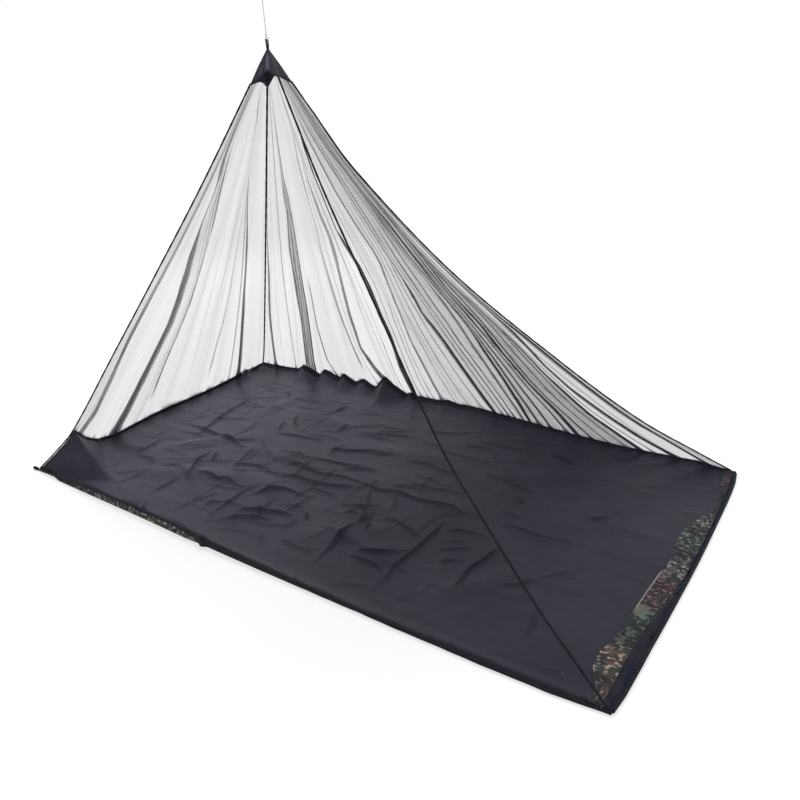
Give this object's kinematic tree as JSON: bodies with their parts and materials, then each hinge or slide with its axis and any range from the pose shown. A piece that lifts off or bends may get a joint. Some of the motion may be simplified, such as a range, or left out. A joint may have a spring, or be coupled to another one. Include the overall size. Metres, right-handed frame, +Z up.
{
  "type": "mosquito net tent",
  "caption": "Hanging pyramid of mosquito net sewn to a dark groundsheet, with a cloth peak cap, a webbing loop and a thin cord.",
  "frame": {"origin": "the hanging point: inside of the tied eye at the top of the cord, straight above the peak", "axes": "+X from the head end to the foot end, +Y from the front to the back, +Z up; the floor is 1.549 m below the origin"},
  "size_m": [2.2465, 1.218, 1.5516],
  "materials": {
    "coated_sheet": "dull coated, creased",
    "net": "sheer fine net",
    "trim": "black woven tape",
    "cap_cloth": "thin coated cloth with a soft sheen",
    "cord": "pale twisted cord"
  },
  "bodies": {
    "root": {"groundsheet": "coated_sheet", "net_front": "net", "net_foot_end": "net", "net_back": "net", "net_head_end": "net", "seam_front_head": "trim", "seam_front_foot": "trim", "seam_back_foot": "trim", "seam_back_head": "trim", "binding_front": "trim", "binding_back": "trim", "binding_head": "trim", "band_foot": "trim", "peak_loop": "trim", "peg_loop": "trim", "peak_cap": "cap_cloth", "cord_tie": "cord", "cord_knot": "cord", "hanging_cord": "cord", "cord_top_knot": "cord", "cord_eye": "cord"}
  },
  "joints": []
}
